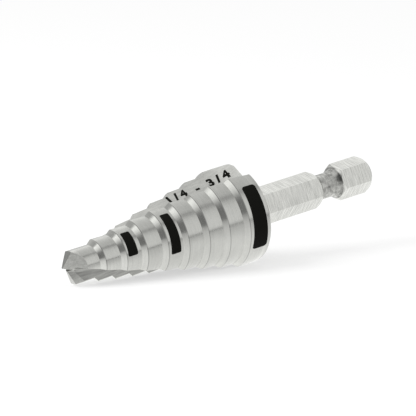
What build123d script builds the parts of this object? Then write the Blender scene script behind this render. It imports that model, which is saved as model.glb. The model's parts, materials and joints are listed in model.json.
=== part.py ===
from build123d import *
from math import acos, cos, degrees, log, radians, sin, sqrt, tan
import os

# Step drill: a two-flute stepped bit, turned and ground in one piece with its hex shank.
# The bit is modelled on its own axis, with the tip at the origin and the shank towards +Z.
# It is laid down at the end, in the pose that it rests in on a table. Millimetres.

INCH = 25.4

# Stepped body
pilot_radius = INCH / 4 / 2             # the smallest hole is 1/4 inch
step_rise = INCH / 16 / 2               # each step opens the hole by 1/16 inch
step_count = 9                          # so the largest hole is 3/4 inch
step_pitch = 4.17                       # from one step's leading corner to the next
last_step_station = 35.9                # leading corner of the largest step, from the tip
last_step_length = 5.1
rear_bevel = 0.4

# Hex shank with a detent groove, for a quick-change chuck
hex_across_flats = INCH / 4
hex_turn = 0.5                          # the flats' small turn about the axis, in degrees
overall_length = 71.0
groove_start = 57.9                     # where the groove's front bevel meets the hex corners
groove_end = 63.9                       # where the groove's flare meets the hex corners
neck_radius = 2.4
flare_radius = 2.5
shank_end_bevel = 1.05

# Flutes: a square groove that winds about the cone and climbs out through the last step
web_half_thickness = 0.8                # the rake wall passes ahead of the axis by this much
lip_angle_at_tip = -168.5               # direction of the cutting lip, about the axis
helix_angle = 5.75                      # the groove's slant across the cone, right-handed
floor_at_tip = -0.50                    # heel wall's distance from the axis at the tip
floor_at_last_step = 5.30               # and at the largest step
floor_bulge = 0.6                       # how far it stands proud of a straight line between
flute_root_radius = 0.9
run_out_station = 33.5                  # where the grinding wheel starts to lift
wheel_radius = 18.6
flute_reach = 14.0                      # the cutter's width, well clear of the body

# Split point
point_angle = 128.0                     # included angle of the two lips
lip_relief = 6.0                        # slope of the narrow face behind each lip
heel_relief = 41.2                      # slope of the wide face behind that
heel_turn = 2.5                         # which falls a little towards the lip's outer end
heel_depth = 0.42                       # where the wide face crosses the axis, below the tip
lip_overrun = 0.285                     # each lip's inner end stands this far past the axis
point_reach = 16.0                      # size of the point's cutter, well clear of the pilot

# Pose at rest, lying on the edges of one flute
nose_down = 8.57
roll = 18.54

hex_corner_radius = hex_across_flats / 2 / cos(radians(30))
last_radius = pilot_radius + (step_count - 1) * step_rise
cone_slope = step_rise / step_pitch
cone_radius_at_tip = last_radius - cone_slope * last_step_station
last_step_rear = last_step_station + last_step_length


def flute_floor(station):
    """Distance of the heel wall from the axis, at a station along the bit."""
    share = station / last_step_station
    straight = floor_at_tip + share * (floor_at_last_step - floor_at_tip)
    lift = max(0.0, station - run_out_station)
    run_out = wheel_radius - sqrt(wheel_radius**2 - lift**2)
    return straight + 4 * floor_bulge * share * (1 - share) + run_out


def lip_plane(station):
    """Plane across the bit, with its X along the cutting lip of one flute."""
    growth = log(1 + cone_slope * station / cone_radius_at_tip)
    turn = degrees(tan(radians(helix_angle)) / cone_slope * growth)
    return Plane.XY.offset(station).rotated((0, 0, lip_angle_at_tip + turn))


# --- Flute cutter: square sections, each turned and moved out a little further -------------
ground_stations = [-2.5 + 6.0 * number for number in range(7)]
run_out_stations = [run_out_station + 2.75 * number for number in range(1, 5)]

with BuildPart() as flute_cutter:
    for station in ground_stations + run_out_stations:
        with BuildSketch(lip_plane(station)) as groove_section:
            with Locations((flute_floor(station), -web_half_thickness)):
                Rectangle(flute_reach, flute_reach, align=(Align.MIN, Align.MAX))
            root = groove_section.vertices().group_by(Axis.X)[0].sort_by(Axis.Y)[-1]
            fillet(root, flute_root_radius)
    loft()

# --- Point cutter: the narrow and the wide face ground behind one lip ----------------------
lip_fall = tan(radians(90 - point_angle / 2))
heel_fall = tan(radians(heel_relief))
lip_face = Plane(
    origin=(lip_overrun, -web_half_thickness, 0),
    z_dir=(lip_fall, tan(radians(lip_relief)), -1),
)
heel_face = Plane(
    origin=(0, 0, heel_depth),
    z_dir=(heel_fall * sin(radians(heel_turn)), heel_fall * cos(radians(heel_turn)), -1),
)
chisel_wall = Plane(
    origin=(0, 0, 0),
    z_dir=(web_half_thickness, lip_overrun, 0),
)

with BuildPart() as point_cutter:
    with BuildSketch(lip_face):
        Rectangle(point_reach, point_reach)
    extrude(amount=point_reach / 2)
    with BuildSketch(heel_face):
        Rectangle(point_reach, point_reach)
    extrude(amount=point_reach / 2)
    split(bisect_by=chisel_wall, keep=Keep.TOP)

# --- The bit -------------------------------------------------------------------------------
with BuildPart() as step_drill:
    # Hex shank
    with BuildSketch(Plane.XY.offset(last_step_station)):
        RegularPolygon(hex_corner_radius, 6, rotation=hex_turn)
    extrude(amount=overall_length - last_step_station)

    # Detent groove: a straight bevel in front and a round flare behind
    neck_front = groove_start + hex_corner_radius - neck_radius
    flare_angle = degrees(acos(1 - (hex_corner_radius - neck_radius) / flare_radius))
    neck_rear = groove_end - flare_radius * sin(radians(flare_angle))
    with BuildSketch(Plane.XZ):
        with BuildLine():
            front = Line((hex_corner_radius, groove_start), (neck_radius, neck_front))
            neck = Line(front @ 1, (neck_radius, neck_rear))
            flare = JernArc(neck @ 1, neck % 1, flare_radius, -flare_angle)
            Line(flare @ 1, (2 * hex_corner_radius, groove_end))
            Line((2 * hex_corner_radius, groove_end), (2 * hex_corner_radius, groove_start))
            Line((2 * hex_corner_radius, groove_start), front @ 0)
        make_face()
    revolve(axis=Axis.Z, mode=Mode.SUBTRACT)

    # Bevel on the shank's end
    with BuildSketch(Plane.XZ):
        Polygon(
            (hex_corner_radius, overall_length - shank_end_bevel),
            (hex_corner_radius, overall_length),
            (hex_corner_radius - shank_end_bevel, overall_length),
            align=None,
        )
    revolve(axis=Axis.Z, mode=Mode.SUBTRACT)

    # Stepped body: each step is a short cone up to its leading corner, then a cylinder
    outline = [(0, -1), (pilot_radius, -1)]
    for index in range(1, step_count):
        station = last_step_station - (step_count - 1 - index) * step_pitch
        radius = pilot_radius + index * step_rise
        outline.append((radius - step_rise, station - step_rise))
        outline.append((radius, station))
    outline.append((last_radius, last_step_rear - rear_bevel))
    outline.append((last_radius - rear_bevel, last_step_rear))
    outline.append((0, last_step_rear))
    with BuildSketch(Plane.XZ):
        with BuildLine():
            Polyline(*outline, close=True)
        make_face()
    revolve(axis=Axis.Z)

    # Two flutes, then the point, each ground twice with half a turn between
    for half_turn in (0, 180):
        add(flute_cutter.part.rotate(Axis.Z, half_turn), mode=Mode.SUBTRACT)
    for half_turn in (0, 180):
        point_turn = lip_angle_at_tip + half_turn
        add(point_cutter.part.rotate(Axis.Z, point_turn), mode=Mode.SUBTRACT)

# --- Laid down with the shank towards +X and one flute below -------------------------------
bit_axis = Vector(cos(radians(nose_down)), 0, sin(radians(nose_down)))
downward = Vector(sin(radians(nose_down)), 0, -cos(radians(nose_down)))
lying = Plane(
    origin=(0, 0, 0),
    x_dir=downward.rotate(Axis((0, 0, 0), bit_axis), -roll),
    z_dir=bit_axis,
)
drill = lying.location * step_drill.part
extent = drill.bounding_box()
drill = Pos(-extent.center().X, -extent.center().Y, -extent.min.Z) * drill
drill.label = "step_drill"

os.makedirs("parts", exist_ok=True)
export_step(drill, "parts/step_drill.step")
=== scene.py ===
import json
from math import cos, log, pi, radians, sin, tan

import bmesh
import bpy
from mathutils import Matrix, Vector
from mathutils.bvhtree import BVHTree


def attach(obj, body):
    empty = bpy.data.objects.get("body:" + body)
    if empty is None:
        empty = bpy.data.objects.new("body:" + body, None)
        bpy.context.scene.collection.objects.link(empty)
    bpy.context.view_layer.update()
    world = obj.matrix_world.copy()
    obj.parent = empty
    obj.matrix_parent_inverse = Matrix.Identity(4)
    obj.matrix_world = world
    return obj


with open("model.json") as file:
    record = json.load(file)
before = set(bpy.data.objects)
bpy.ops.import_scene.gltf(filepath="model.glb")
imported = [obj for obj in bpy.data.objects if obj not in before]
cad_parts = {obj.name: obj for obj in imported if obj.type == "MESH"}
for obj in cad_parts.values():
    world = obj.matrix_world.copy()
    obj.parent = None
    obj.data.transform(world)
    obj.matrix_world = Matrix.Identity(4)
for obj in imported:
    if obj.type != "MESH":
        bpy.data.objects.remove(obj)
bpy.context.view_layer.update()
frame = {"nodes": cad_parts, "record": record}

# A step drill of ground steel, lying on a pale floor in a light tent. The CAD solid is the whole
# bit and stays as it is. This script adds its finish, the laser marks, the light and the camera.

MM = 0.001

# The bit's own frame: its tip is the origin, its x is ROLL away from straight down, its z is the
# axis towards the shank. A station is a distance from the tip along that axis.
OVERALL_LENGTH = 71.0 * MM
ROLL = radians(18.54)

# Stepped body
PILOT_RADIUS = 3.175 * MM
STEP_RISE = 0.79375 * MM
STEP_PITCH = 4.17 * MM
LAST_STEP = 8                       # counted from the pilot, which is 0
JUST_PAST = 0.001                   # share of a step
LAST_STEP_STATION = 35.9 * MM

# Flute, as it is ground: the way its heel wall faces at the tip, in the bit's frame, and how far
# off the axis the wall lies
FACING_AT_TIP = radians(-168.5)
HELIX_ANGLE = radians(5.75)
WALL_AT_TIP = -0.50 * MM
WALL_AT_LAST_STEP = 5.30 * MM
WALL_BULGE = 0.6 * MM               # midway between the two

# Laser marks: bars on the visible land, and size numbers in the flute. A bar has its step, counted
# from 1, its azimuths in degrees from the bit's x towards the camera, and in millimetres its
# stations, its corner radius and how far its front edge leans forward.
BARS = (
    (3, (73, 132), (11.5, 13.45), 0.3, 0.25),
    (5, (57, 131), (20.1, 22.05), 0.3, 0.3),
    (9, (41, 118), (37.0, 39.95), 0.6, 0.4),
)
BAR_STRIP = 0.25 * MM
NUMBERS = "1/4 - 3/4"
NUMBERS_STATION = 26.1 * MM
NUMBERS_BASE = 3.95 * MM            # from the foot of the axis on the wall to the base line
NUMBERS_HEIGHT = 1.78 * MM
NUMBERS_SPACING = 1.5
NUMBERS_BOLDNESS = 0.13 * MM
NUMBERS_STRIP = 0.4 * MM
CAPITAL_HEIGHT = 0.72               # share of the font's size
WALL_REACH = 3.0 * MM               # how far off the wall the numbers are cast from
MERGE_DISTANCE = 0.001 * MM
MARK_LIFT = 0.012 * MM              # off the steel

# Camera
CAMERA_AIM = Vector((-2.52, 0.0, 11.16)) * MM
CAMERA_DISTANCE = 697.9 * MM
CAMERA_AZIMUTH = radians(-126.62)
CAMERA_ELEVATION = radians(10.33)
CAMERA_ROLL = radians(-0.17)
CAMERA_LENS = 322.15                # focal length in millimetres, for a 36 mm sensor
SENSOR_WIDTH = 36.0
CLIP_START = 0.01

# Colours
STEEL = (0.671, 0.675, 0.643)
LASER_BLACK = (0.0045, 0.0045, 0.0035)
LASER_PALEST = 2.0                  # times LASER_BLACK

# Limits of the steel's regions, in millimetres unless it is said. A mask goes smoothly from 0 at
# its first limit to 1 at its second.
BODY_END = (41.05, 40.95)           # station: the stepped body lies before it
SHANK_START = (40.95, 41.05)
FLUTE_DEPTH = (0.09, 0.14)          # under the turned surface
POINT_DEPTH = (0.015, 0.03)         # under the turned surface
POINT_SLOPE = 0.95                  # the point is ground ahead of a cone that rises this steeply
POINT_END = (0.65, 0.55)            # station of that cone on the axis
# Painted shade: the flute walls past this x, on the bit's lower side, are darker
LOW_SIDE = (-0.3, 0.3)              # x in the bit's frame
NECK_RADIUS = (3.15, 3.05)
NECK_START = (57.9, 58.4)
NECK_END = (63.9, 63.4)
# Painted shade: a darker ring round the neck's end by the hex end, from this station on
NECK_SHADE_RING = (62.7, 63.5)
# Painted shade: a dark spot in the corner between the neck and the hex end, its middle and its
# reach
NECK_SHADE_SPOT = (-0.60, -2.95, 63.5)  # middle of the dark corner between the neck and the hex end
NECK_SHADE_SPOT_REACH = (1.3, 0.4)      # from that middle
# Painted shade: a thin dark line behind each step's leading corner; its width, then its first and
# last stations
EDGE_SHADE_WIDTH = (0.055, 0.025)         # share of a step's pitch, behind its leading corner
BEVEL_START = (0.80, 0.82)          # share of a step's pitch
FIRST_EDGE_SHADE = (3.5, 3.6)
LAST_EDGE_SHADE = (39.6, 39.5)

# Patterns in the steel. Each is noise at a rate per millimetre across the bit and along it, with
# its detail and roughness. Turning and shank lines run round the bit, flute lines run along it.
PATTERNS = {
    "turning": (0.22, 3.2, 3.0, 0.6),
    "bands": (0.35, 0.9, 2.0, 0.5),
    "flute_lines": (2.6, 0.16, 3.0, 0.55),
    "shank_lines": (0.3, 5.0, 3.0, 0.7),
    "cloud": (0.45, 0.45, 3.0, 0.5),
    "mottle": (1.5, 1.5, 3.0, 0.6),
    "grain": (4.0, 4.0, 2.0, 0.6),
}
LASER_PATTERN = (2.2, 5.5, 3.0, 0.5)

# How far the tone differs from STEEL in each region, as a share
# The edge line, the lower flute, the neck's end and the neck's corner are painted shade
TONE_CHANGES = {
    "edge": -0.40, "bevel": 0.07, "shank": 0.12, "neck": -0.22, "point": -0.31, "shaded_low_flute": -0.50,
    "neck_end_shade": -0.30, "neck_corner_shade": -0.60,
}
# Contrast of each pattern in the tone: the fine lines have some everywhere and more in three
# regions, and the mottle is there only in two
LINE_CONTRAST = 0.24
MORE_LINE_CONTRAST = {"shank": 1.05, "flute": 0.30, "shaded_low_flute": 0.80}
MOTTLE_CONTRAST = {"neck": 2.0, "point": 0.4}
CLOUD_CONTRAST = 0.12
BAND_CONTRAST = 0.10
GRAIN_CONTRAST = 0.14

# Gloss and relief of the steel, and of the laser marks
ROUGHNESS = 0.17
MORE_ROUGHNESS = {"lines": 0.14, "neck": 0.16, "bevel": -0.07}
ANISOTROPY = 0.7
CLOUD_RELIEF = 0.5                  # next to the lines' 1
NECK_RELIEF = 10.0
RELIEF_DEPTH = 0.012 * MM
RELIEF_STRENGTH = 0.35
LASER_ROUGHNESS = 0.5
LASER_MORE_ROUGHNESS = 0.2          # where the mottle is palest
LASER_SHEEN = 0.06
LASER_RELIEF_DEPTH = 0.01 * MM
LASER_RELIEF_STRENGTH = 0.2

# Brightness of the tent round the bit, by angle: 0 is the horizon on the camera's side, 90 is up
# and 180 the far horizon. The first list lies towards the shank and shows in the cylinders, and
# the second lies towards the tip and shows in the bevels.
TENT_TOWARDS_SHANK = (
    (0, 0.34), (3.5, 0.34), (6.0, 0.80), (45, 0.75), (55, 0.66), (61, 0.54), (66, 0.36), (70, 0.36),
    (75, 0.61), (93, 0.62), (110, 0.70), (125, 0.80), (134, 0.98), (150, 0.95), (165, 0.60),
    (180, 0.55),
)
TENT_TOWARDS_TIP = (
    (0, 0.24), (6, 0.20), (42, 0.20), (58, 0.30), (72, 0.56), (84, 0.82), (95, 0.99), (104, 1.19),
    (111, 1.17), (116, 0.40), (135, 0.45), (150, 0.60), (180, 0.40),
)
TENT_BLEND = (-0.35, 0.1)           # x of a direction, from the second list to the first
RAMP_TOP = 1.4                      # a colour ramp holds 0 to 1, so levels are divided by this
TENT_ON_DIFFUSE = 0.8               # brightness for the floor and the marks

# Floor: its grey and the glow that makes it white to the camera, then the grey and the glows that
# the steel mirrors. Their limits are in x, from tip to shank, or in y, away from the camera.
FLOOR_HALF_SIZE = 3.0
FLOOR_GREY = 0.5
FLOOR_GLOW = 0.53
MIRRORED_GREY = 0.31
NEAR_GLOW = 0.5
NEAR_REACH = 10 * MM                # the near glow halves this far to either side of the bit
BODY_GLOW = 0.55                    # more of the near glow under the body
BODY_GLOW_END = (20 * MM, 5 * MM)   # x
SHANK_GLOW = 0.25                   # everywhere towards the shank
SHANK_GLOW_START = (-20 * MM, 20 * MM)      # x
BEHIND_GLOW = 0.30                  # in a strip behind the bit
BEHIND_GLOW_START = (2 * MM, 8 * MM)        # y
BEHIND_GLOW_END = (50 * MM, 20 * MM)        # y

# Lamp: one soft box, high behind the tip
LAMP_AZIMUTH = radians(165)
LAMP_ELEVATION = radians(42)
LAMP_DISTANCE = 0.5
LAMP_SIZE = 0.3
LAMP_POWER = 1.2


def bit_frame():
    """Matrix from the bit's own frame to the row frame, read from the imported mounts."""
    mounts = {mount["name"]: mount for mount in frame["record"]["mounts"]}
    axis = Vector(mounts["shank_end"]["axis"]).normalized()
    tip = Vector(mounts["shank_end"]["pos_m"]) - axis * OVERALL_LENGTH
    across = Vector((0, 1, 0))
    down = across.cross(axis)
    x_axis = down * cos(ROLL) - across * sin(ROLL)
    y_axis = axis.cross(x_axis)
    matrix = Matrix((x_axis, y_axis, axis)).transposed().to_4x4()
    matrix.translation = tip
    return matrix


BIT = bit_frame()


# --- Shader nodes --------------------------------------------------------------------------

class Graph:
    """A short way to write shader nodes: each method adds nodes and returns an output."""

    def __init__(self, tree):
        self.tree = tree
        tree.nodes.clear()

    def node(self, kind, inputs=None, **settings):
        """Adds one node and returns it."""
        made = self.tree.nodes.new("ShaderNode" + kind)
        for name, value in settings.items():
            setattr(made, name, value)
        for key, value in (inputs or {}).items():
            self.feed(made.inputs[key], value)
        return made

    def feed(self, socket, value):
        """Links an output to a socket, or sets the socket's value."""
        if isinstance(value, bpy.types.NodeSocket):
            self.tree.links.new(value, socket)
        else:
            socket.default_value = value

    def math(self, operation, a, b=0.0, c=0.0, clamp=False):
        """One sum on up to three values."""
        made = self.node("Math", operation=operation, use_clamp=clamp)
        for socket, value in zip(made.inputs, (a, b, c)):
            self.feed(socket, value)
        return made.outputs[0]

    def product(self, first, *others):
        """All the values multiplied."""
        for other in others:
            first = self.math("MULTIPLY", first, other)
        return first

    def inverse(self, share):
        """What is left of 1."""
        return self.math("SUBTRACT", 1.0, share)

    def weigh(self, base, terms):
        """The base, plus each term's value times its weight."""
        for value, weight in terms:
            base = self.math("MULTIPLY_ADD", value, weight, base)
        return base

    def step(self, value, low, high):
        """Goes smoothly from 0 at low to 1 at high, and high may be the smaller one."""
        inputs = {"Value": value, "From Min": low, "From Max": high, "To Min": 0.0, "To Max": 1.0}
        return self.node("MapRange", inputs, interpolation_type="SMOOTHSTEP").outputs["Result"]

    def mix(self, share, a, b):
        """From colour a at 0 to colour b at 1, which are a mix node's inputs 6 and 7."""
        made = self.node("Mix", data_type="RGBA")
        self.feed(made.inputs[0], share)
        self.feed(made.inputs[6], a)
        self.feed(made.inputs[7], b)
        return made.outputs[2]

    def ramp(self, value, stops):
        """A grey level by place from 0 to 1."""
        made = self.node("ValToRGB", {0: value})
        elements = made.color_ramp.elements
        while len(elements) < len(stops):
            elements.new(0.5)
        for element, (place, level) in zip(elements, stops):
            element.position = place
            element.color = rgba((level, level, level))
        return made.outputs[0]

    def xyz(self, x, y, z):
        """A vector from its three parts."""
        return self.node("CombineXYZ", {"X": x, "Y": y, "Z": z}).outputs[0]

    def noise(self, vector, detail, roughness):
        """Noise from 0 to 1, with one wave or so per unit."""
        inputs = {"Vector": vector, "Scale": 1.0, "Detail": detail, "Roughness": roughness}
        return self.node("TexNoise", inputs).outputs["Fac"]


def rgba(colour):
    """The colour as Blender's sockets take it, opaque."""
    return (*colour, 1.0)


def new_material(name):
    """An empty material and the graph to write it with."""
    material = bpy.data.materials.new(name)
    material.use_nodes = True
    return material, Graph(material.node_tree)


def bit_coordinates(graph):
    """Place in the bit's frame in millimetres: x, y and station, and the radius from the axis."""
    place = graph.node("TexCoord").outputs["Object"]
    turned = graph.node("Mapping", {"Vector": place}, vector_type="TEXTURE")
    turned.inputs["Location"].default_value = BIT.translation
    turned.inputs["Rotation"].default_value = BIT.to_euler()
    turned.inputs["Scale"].default_value = (MM, MM, MM)
    x, y, station = graph.node("SeparateXYZ", {0: turned.outputs[0]}).outputs
    radius = graph.math("SQRT", graph.math("MULTIPLY_ADD", x, x, graph.math("MULTIPLY", y, y)))
    return x, y, station, radius


def outer_radius(graph, station):
    """Radius of the turned surface at a station: steps, with a 45 degree bevel before each."""
    pitch = STEP_PITCH / MM
    rise = STEP_RISE / MM
    count = graph.math("SUBTRACT", station, LAST_STEP_STATION / MM - LAST_STEP * pitch)
    count = graph.math("DIVIDE", count, pitch)
    # The count stops just past the last step, which has no bevel after it
    count = graph.math("MINIMUM", graph.math("MAXIMUM", count, 0.0), LAST_STEP + JUST_PAST)
    whole = graph.math("FLOOR", count)
    rest = graph.math("SUBTRACT", count, whole)
    bevel = graph.math("MULTIPLY_ADD", rest, pitch / rise, 1 - pitch / rise, clamp=True)
    return graph.math("MULTIPLY_ADD", graph.math("ADD", whole, bevel), rise, PILOT_RADIUS / MM)


def pattern_noise(graph, x, y, station, pattern):
    """Noise at its own rates across the bit and along it."""
    across, along, detail, roughness = pattern
    place = graph.xyz(graph.math("MULTIPLY", x, across), graph.math("MULTIPLY", y, across),
                      graph.math("MULTIPLY", station, along))
    return graph.noise(place, detail, roughness)


# --- Steel ---------------------------------------------------------------------------------

def steel_regions(graph, x, y, station, radius):
    """Masks from 0 to 1 for the kinds of surface, and for the places where shade is painted."""
    inside = graph.math("SUBTRACT", outer_radius(graph, station), radius)
    body = graph.step(station, *BODY_END)
    flute = graph.product(graph.step(inside, *FLUTE_DEPTH), body)
    turned = graph.inverse(flute)

    behind_point = graph.math("MULTIPLY_ADD", radius, -POINT_SLOPE, station)
    point = graph.product(graph.step(behind_point, *POINT_END), graph.step(inside, *POINT_DEPTH))

    neck = graph.product(graph.step(radius, *NECK_RADIUS), graph.step(station, *NECK_START),
                         graph.step(station, *NECK_END))
    # Distance from the middle of the painted shade spot
    to_corner = graph.node("VectorMath", {0: graph.xyz(x, y, station), 1: NECK_SHADE_SPOT},
                           operation="DISTANCE").outputs["Value"]

    # Share of the pitch behind a step's leading corner, where a thin dark line of painted shade
    # goes
    past_last = graph.math("SUBTRACT", station, LAST_STEP_STATION / MM)
    behind_corner = graph.math("FRACT", graph.math("DIVIDE", past_last, STEP_PITCH / MM))
    edge = graph.product(graph.step(behind_corner, *EDGE_SHADE_WIDTH), graph.step(station, *FIRST_EDGE_SHADE),
                         graph.step(station, *LAST_EDGE_SHADE), turned)
    return {
        "flute": flute,
        # painted shade: the lower flute's walls are darker, away from the point
        "shaded_low_flute": graph.product(flute, graph.step(x, *LOW_SIDE), graph.inverse(point)),
        "point": point,
        # painted shade: a thin dark line behind each step's leading corner
        "edge": edge,
        "bevel": graph.product(graph.step(behind_corner, *BEVEL_START), body, turned),
        "shank": graph.step(station, *SHANK_START),
        "neck": neck,
        # painted shade: a darker ring round the neck's end
        "neck_end_shade": graph.product(graph.step(station, *NECK_SHADE_RING), neck),
        # painted shade: a dark spot in the corner by the hex end
        "neck_corner_shade": graph.product(graph.step(to_corner, *NECK_SHADE_SPOT_REACH), neck),
    }


def steel_patterns(graph, x, y, station, regions):
    """Noise patterns, with "lines" for the fine lines that each region has."""
    patterns = {
        name: pattern_noise(graph, x, y, station, pattern) for name, pattern in PATTERNS.items()
    }
    body_lines = graph.mix(regions["flute"], patterns["turning"], patterns["flute_lines"])
    patterns["lines"] = graph.mix(regions["shank"], body_lines, patterns["shank_lines"])
    return patterns


def steel_tone(graph, regions, patterns):
    """The steel's colour: STEEL, varied by the patterns and changed by the region, some by painted
    shade.
    """
    line_contrast = graph.weigh(
        LINE_CONTRAST, [(regions[name], more) for name, more in MORE_LINE_CONTRAST.items()])
    mottle_contrast = graph.weigh(
        0.0, [(regions[name], contrast) for name, contrast in MOTTLE_CONTRAST.items()])
    contrasts = {
        "lines": line_contrast,
        "mottle": mottle_contrast,
        "cloud": CLOUD_CONTRAST,
        "bands": BAND_CONTRAST,
        "grain": GRAIN_CONTRAST,
    }
    shade = graph.weigh(1.0, [
        (graph.math("SUBTRACT", patterns[name], 0.5), contrast)
        for name, contrast in contrasts.items()
    ])
    for name, change in TONE_CHANGES.items():
        shade = graph.product(shade, graph.math("MULTIPLY_ADD", regions[name], change, 1.0))
    return graph.node("VectorMath", {0: STEEL, "Scale": shade}, operation="SCALE").outputs[0]


def steel_material():
    """Ground steel: lines round the body and across the flats, and along the flutes."""
    material, graph = new_material("ground_steel")
    x, y, station, radius = bit_coordinates(graph)
    regions = steel_regions(graph, x, y, station, radius)
    patterns = steel_patterns(graph, x, y, station, regions)

    levels = {**patterns, **regions}
    rough = graph.weigh(
        ROUGHNESS, [(levels[name], more) for name, more in MORE_ROUGHNESS.items()])
    neck_mottle = graph.product(regions["neck"], patterns["mottle"])
    height = graph.weigh(
        patterns["lines"], [(patterns["cloud"], CLOUD_RELIEF), (neck_mottle, NECK_RELIEF)])
    bump = graph.node("Bump", {
        "Height": height, "Strength": RELIEF_STRENGTH, "Distance": RELIEF_DEPTH,
    })

    # The tangent is the axis of the bit, held by a node because the socket takes only a link
    axis = BIT.to_3x3() @ Vector((0, 0, 1))
    tangent = graph.node("VectorMath", {0: axis, 1: (0, 0, 0)}, operation="ADD")
    shader = graph.node("BsdfPrincipled", {
        "Base Color": steel_tone(graph, regions, patterns), "Metallic": 1.0, "Roughness": rough,
        "Anisotropic": ANISOTROPY, "Normal": bump.outputs[0], "Tangent": tangent.outputs[0],
    })
    graph.node("OutputMaterial", {"Surface": shader.outputs[0]})
    return material


def laser_material():
    """Laser-blackened steel: a dark oxide with a faint sheen and a fine mottle."""
    material, graph = new_material("laser_mark")
    x, y, station, _ = bit_coordinates(graph)
    mottle = pattern_noise(graph, x, y, station, LASER_PATTERN)
    palest = rgba([LASER_PALEST * level for level in LASER_BLACK])
    tone = graph.mix(mottle, rgba(LASER_BLACK), palest)
    rough = graph.math("MULTIPLY_ADD", mottle, LASER_MORE_ROUGHNESS, LASER_ROUGHNESS)
    bump = graph.node("Bump", {
        "Height": mottle, "Strength": LASER_RELIEF_STRENGTH, "Distance": LASER_RELIEF_DEPTH,
    })
    shader = graph.node("BsdfPrincipled", {
        "Base Color": tone, "Roughness": rough, "Specular IOR Level": LASER_SHEEN,
        "Normal": bump.outputs[0],
    })
    graph.node("OutputMaterial", {"Surface": shader.outputs[0]})
    return material


# --- Laser marks ---------------------------------------------------------------------------

def finish_piece(mesh, name, material):
    """Puts a mesh in the scene as a piece of the bit."""
    mesh.materials.append(material)
    piece = bpy.data.objects.new(name, mesh)
    bpy.context.scene.collection.objects.link(piece)
    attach(piece, "root")


def rounded_rectangle(width, height, radius, arc_steps=6):
    """Corner points of a rectangle centred on the origin, with round corners."""
    points = []
    for quarter in range(4):
        turn = quarter * pi / 2
        centre_x = (width / 2 - radius) * (1 if quarter in (0, 3) else -1)
        centre_y = (height / 2 - radius) * (1 if quarter in (0, 1) else -1)
        for index in range(arc_steps + 1):
            angle = turn + index / arc_steps * pi / 2
            points.append((centre_x + radius * cos(angle), centre_y + radius * sin(angle)))
    return points


def cut_in_strips(mesh_edit, spacing, reach):
    """Cuts a flat outline both ways as far as the reach from its middle, so that it can bend."""
    for normal in ((1, 0, 0), (0, 1, 0)):
        count = int(reach / spacing)
        for index in range(-count, count + 1):
            everything = mesh_edit.verts[:] + mesh_edit.edges[:] + mesh_edit.faces[:]
            place = Vector(normal) * spacing * index
            bmesh.ops.bisect_plane(mesh_edit, geom=everything, plane_co=place, plane_no=normal)


def mark_bar(step, azimuths, stations, corner, lean, material):
    """A black bar round part of a step's cylinder, between two azimuths and two stations."""
    radius = PILOT_RADIUS + (step - 1) * STEP_RISE + MARK_LIFT
    width = radius * radians(azimuths[1] - azimuths[0])
    height = (stations[1] - stations[0]) * MM
    edit = bmesh.new()
    corners = rounded_rectangle(width, height, corner * MM)
    edit.faces.new([edit.verts.new((px, py, 0)) for px, py in corners])
    cut_in_strips(edit, BAR_STRIP, width)

    # Round the cylinder, with the front edge leaning forward towards the lower end
    middle = radians(sum(azimuths) / 2)
    station = sum(stations) / 2 * MM
    for vertex in edit.verts:
        angle = -(middle + vertex.co.x / radius)
        forward = lean * MM * (0.5 - vertex.co.x / width) * (0.5 - vertex.co.y / height)
        along = station + vertex.co.y - forward
        vertex.co = BIT @ Vector((radius * cos(angle), radius * sin(angle), along))
    bmesh.ops.reverse_faces(edit, faces=edit.faces)
    for face in edit.faces:
        face.smooth = True
    name = f"size_mark_{step}"
    mesh = bpy.data.meshes.new(name)
    edit.to_mesh(mesh)
    edit.free()
    finish_piece(mesh, name, material)


def wall_plane(station):
    """Foot of the axis on a flute's heel wall, and the wall's outward and edgeward directions.

    The bit is ground as a cone, on which an even helix turns by the logarithm of the radius.
    """
    slope = STEP_RISE / STEP_PITCH
    radius_at_tip = PILOT_RADIUS + LAST_STEP * STEP_RISE - slope * LAST_STEP_STATION
    growth = log(1 + slope * station / radius_at_tip)
    angle = FACING_AT_TIP + tan(HELIX_ANGLE) / slope * growth
    share = station / LAST_STEP_STATION
    straight = WALL_AT_TIP + share * (WALL_AT_LAST_STEP - WALL_AT_TIP)
    distance = straight + 4 * WALL_BULGE * share * (1 - share)
    outward = Vector((cos(angle), sin(angle), 0))
    edgeward = Vector((sin(angle), -cos(angle), 0))
    return outward * distance + Vector((0, 0, station)), outward, edgeward


def flat_numbers():
    """Mesh of the size numbers, flat and upright, starting at the origin."""
    curve = bpy.data.curves.new("size_numbers", "FONT")
    curve.body = NUMBERS
    curve.size = NUMBERS_HEIGHT / CAPITAL_HEIGHT
    curve.space_character = NUMBERS_SPACING
    curve.offset = NUMBERS_BOLDNESS
    curve.resolution_u = 4
    text = bpy.data.objects.new("flat_numbers", curve)
    bpy.context.scene.collection.objects.link(text)
    bpy.context.view_layer.update()
    evaluated = text.evaluated_get(bpy.context.evaluated_depsgraph_get())
    mesh = bpy.data.meshes.new_from_object(evaluated)
    bpy.data.objects.remove(text)
    mesh.name = "size_numbers"
    return mesh


def size_numbers(drill, material):
    """The bit's size range on the upper flute's heel wall, pressed onto the CAD surface."""
    mesh = flat_numbers()
    steel = BVHTree.FromObject(drill, bpy.context.evaluated_depsgraph_get())
    edit = bmesh.new()
    edit.from_mesh(mesh)
    bmesh.ops.remove_doubles(edit, verts=edit.verts, dist=MERGE_DISTANCE)
    cut_in_strips(edit, NUMBERS_STRIP, OVERALL_LENGTH)
    turn = BIT.to_3x3()
    for vertex in edit.verts:
        foot, outward, edgeward = wall_plane(NUMBERS_STATION + vertex.co.x)
        above = foot + edgeward * (NUMBERS_BASE + vertex.co.y) + outward * WALL_REACH
        on_wall = steel.ray_cast(BIT @ above, turn @ -outward)[0]
        vertex.co = on_wall + turn @ outward * MARK_LIFT
    edit.normal_update()
    edit.to_mesh(mesh)
    edit.free()
    finish_piece(mesh, "size_numbers", material)


# --- Floor, light and camera ---------------------------------------------------------------

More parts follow.
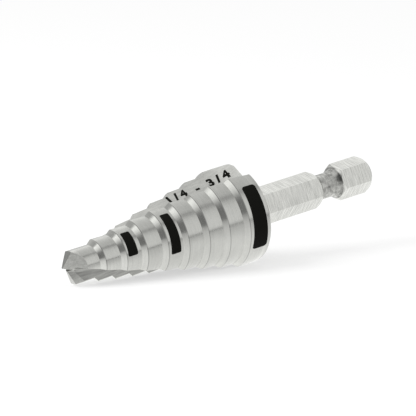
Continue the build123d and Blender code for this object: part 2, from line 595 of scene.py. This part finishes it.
def mirrored_glow(graph):
    """How much the floor glows for the steel: most near the bit, and more under its body."""
    x, y, _ = graph.node("SeparateXYZ", {0: graph.node("TexCoord").outputs["Object"]}).outputs
    spread = graph.math("ADD", graph.math("ABSOLUTE", y), NEAR_REACH)
    near = graph.math("DIVIDE", NEAR_REACH, spread)
    peak = graph.weigh(NEAR_GLOW, [(graph.step(x, *BODY_GLOW_END), BODY_GLOW)])
    behind = graph.product(
        graph.step(y, *BEHIND_GLOW_START), graph.step(y, *BEHIND_GLOW_END))
    return graph.weigh(graph.product(near, peak), [
        (graph.step(x, *SHANK_GLOW_START), SHANK_GLOW), (behind, BEHIND_GLOW),
    ])


def make_floor():
    """A floor that is white to the camera, with the bit's shadow, and grey to the steel."""
    edit = bmesh.new()
    bmesh.ops.create_grid(edit, x_segments=1, y_segments=1, size=FLOOR_HALF_SIZE)
    mesh = bpy.data.meshes.new("floor")
    edit.to_mesh(mesh)
    edit.free()
    floor = bpy.data.objects.new("floor", mesh)
    bpy.context.scene.collection.objects.link(floor)

    material, graph = new_material("floor")
    path = graph.node("LightPath").outputs
    seen = graph.math("MAXIMUM", path["Is Camera Ray"], path["Is Transmission Ray"])
    glow = graph.product(path["Is Glossy Ray"], mirrored_glow(graph))
    glow = graph.math("MULTIPLY_ADD", seen, FLOOR_GLOW, glow)
    grey = graph.mix(path["Is Glossy Ray"], rgba([FLOOR_GREY] * 3), rgba([MIRRORED_GREY] * 3))
    cloth = graph.node("BsdfDiffuse", {"Color": grey})
    light = graph.node("Emission", {"Color": rgba((1, 1, 1)), "Strength": glow})
    both = graph.node("AddShader", {0: cloth.outputs[0], 1: light.outputs[0]})
    graph.node("OutputMaterial", {"Surface": both.outputs[0]})
    mesh.materials.append(material)


def make_world():
    """A light tent: white to the camera, even on floor and marks, and banded to the steel."""
    world = bpy.data.worlds.new("tent")
    bpy.context.scene.world = world
    world.use_nodes = True
    graph = Graph(world.node_tree)
    direction = graph.node("TexCoord").outputs["Generated"]
    x, y, z = graph.node("SeparateXYZ", {0: direction}).outputs
    turn = graph.math("ARCTAN2", z, graph.math("MULTIPLY", y, -1.0))
    turn = graph.math("DIVIDE", turn, pi)
    bands = []
    for levels in (TENT_TOWARDS_TIP, TENT_TOWARDS_SHANK):
        stops = [(angle / 180, level / RAMP_TOP) for angle, level in levels]
        bands.append(graph.math("MULTIPLY", graph.ramp(turn, stops), RAMP_TOP))
    mirrored = graph.mix(graph.step(x, *TENT_BLEND), *bands)

    path = graph.node("LightPath").outputs
    strength = graph.math("MULTIPLY", path["Is Glossy Ray"], mirrored)
    white = graph.math("MAXIMUM", path["Is Camera Ray"], path["Is Transmission Ray"])
    strength = graph.math("MAXIMUM", strength, white)
    on_diffuse = graph.math("MULTIPLY", path["Is Diffuse Ray"], TENT_ON_DIFFUSE)
    strength = graph.math("MAXIMUM", strength, on_diffuse)
    back = graph.node("Background", {"Color": rgba((1, 1, 1)), "Strength": strength})
    graph.node("OutputWorld", {"Surface": back.outputs[0]})


def direction_at(azimuth, elevation):
    """Unit vector by azimuth from x, anticlockwise, and elevation."""
    level = cos(elevation)
    return Vector((cos(azimuth) * level, sin(azimuth) * level, sin(elevation)))


def aim_at(thing, target):
    """Turns a lamp or camera to look at a point, upright."""
    thing.rotation_euler = (target - thing.location).to_track_quat("-Z", "Y").to_euler()


def make_lamp():
    """A soft box that lights the floor and the marks. The steel doesn't mirror it."""
    data = bpy.data.lights.new("key_lamp", "AREA")
    data.shape = "SQUARE"
    data.size = LAMP_SIZE
    data.energy = LAMP_POWER
    lamp = bpy.data.objects.new("key_lamp", data)
    bpy.context.scene.collection.objects.link(lamp)
    lamp.visible_glossy = False
    lamp.location = direction_at(LAMP_AZIMUTH, LAMP_ELEVATION) * LAMP_DISTANCE
    aim_at(lamp, CAMERA_AIM)


def make_camera():
    """The photograph's camera, found by fitting the bit's outline."""
    data = bpy.data.cameras.new("camera")
    data.sensor_width = SENSOR_WIDTH
    data.lens = CAMERA_LENS
    data.clip_start = CLIP_START
    camera = bpy.data.objects.new("camera", data)
    bpy.context.scene.collection.objects.link(camera)
    camera.location = CAMERA_AIM + direction_at(CAMERA_AZIMUTH, CAMERA_ELEVATION) * CAMERA_DISTANCE
    aim_at(camera, CAMERA_AIM)
    level = camera.rotation_euler.to_matrix()
    camera.rotation_euler = (level @ Matrix.Rotation(CAMERA_ROLL, 3, "Z")).to_euler()
    bpy.context.scene.camera = camera


# --- The scene -----------------------------------------------------------------------------

steel = steel_material()
drill = frame["nodes"]["step_drill"]
for slot in drill.material_slots:
    slot.material = steel

laser = laser_material()
for bar in BARS:
    mark_bar(*bar, laser)
size_numbers(drill, laser)

make_floor()
make_world()
make_lamp()
make_camera()

bpy.context.scene.view_settings.view_transform = "Standard"
